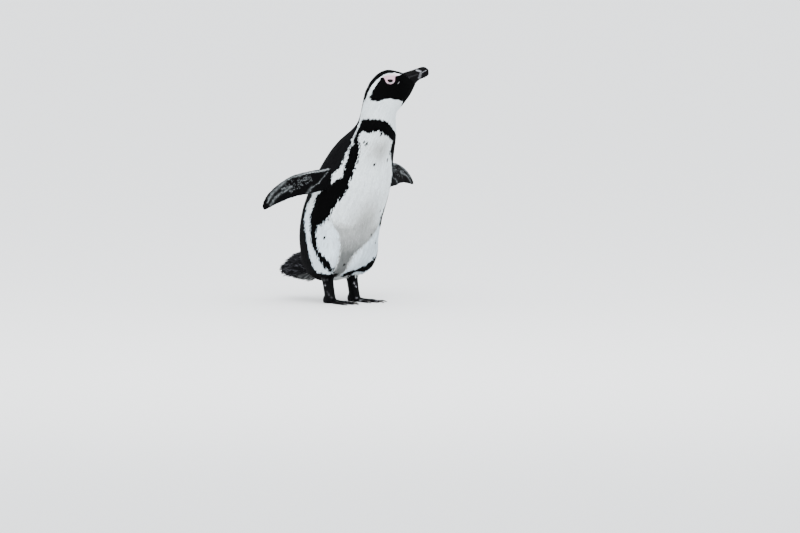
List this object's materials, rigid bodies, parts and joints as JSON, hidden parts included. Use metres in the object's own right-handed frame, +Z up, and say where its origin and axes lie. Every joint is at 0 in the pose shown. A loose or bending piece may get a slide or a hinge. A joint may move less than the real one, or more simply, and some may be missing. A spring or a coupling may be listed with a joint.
{
  "type": "african penguin",
  "caption": "Standing African penguin at life size, leaning forward with flippers held out and back and the head turned and raised; a still figure.",
  "frame": {"origin": "on the floor, under the middle of the figure's bounding box", "axes": "+Z up, the body faces -Y, +X is the bird's left"},
  "size_m": [0.4214, 0.3586, 0.5266],
  "materials": {
    "plumage_white": "matte, small overlapping white feathers",
    "plumage_black": "matte to silky, small overlapping black feathers",
    "face_skin": "bare pink skin over the eye",
    "foot_skin": "black scaly skin with pale blotches",
    "bill_horn": "semi-gloss black horn with a pale band near the tip",
    "claw_horn": "semi-gloss dark horn",
    "eye": "wet gloss, dark brown"
  },
  "bodies": {
    "root": {"trunk": "plumage_white", "neck": "plumage_white", "head": "plumage_black", "bill_upper": "bill_horn", "bill_lower": "bill_horn", "eye_right": "eye", "eye_left": "eye", "tail": "plumage_black", "flipper_right": "plumage_black", "leg_right": "plumage_white", "foot_right": "foot_skin", "claw_right_inner": "claw_horn", "claw_right_middle": "claw_horn", "claw_right_outer": "claw_horn", "claw_right_hallux": "claw_horn", "flipper_left": "plumage_black", "leg_left": "plumage_white", "foot_left": "foot_skin", "claw_left_inner": "claw_horn", "claw_left_middle": "claw_horn", "claw_left_outer": "claw_horn", "claw_left_hallux": "claw_horn"}
  },
  "joints": []
}
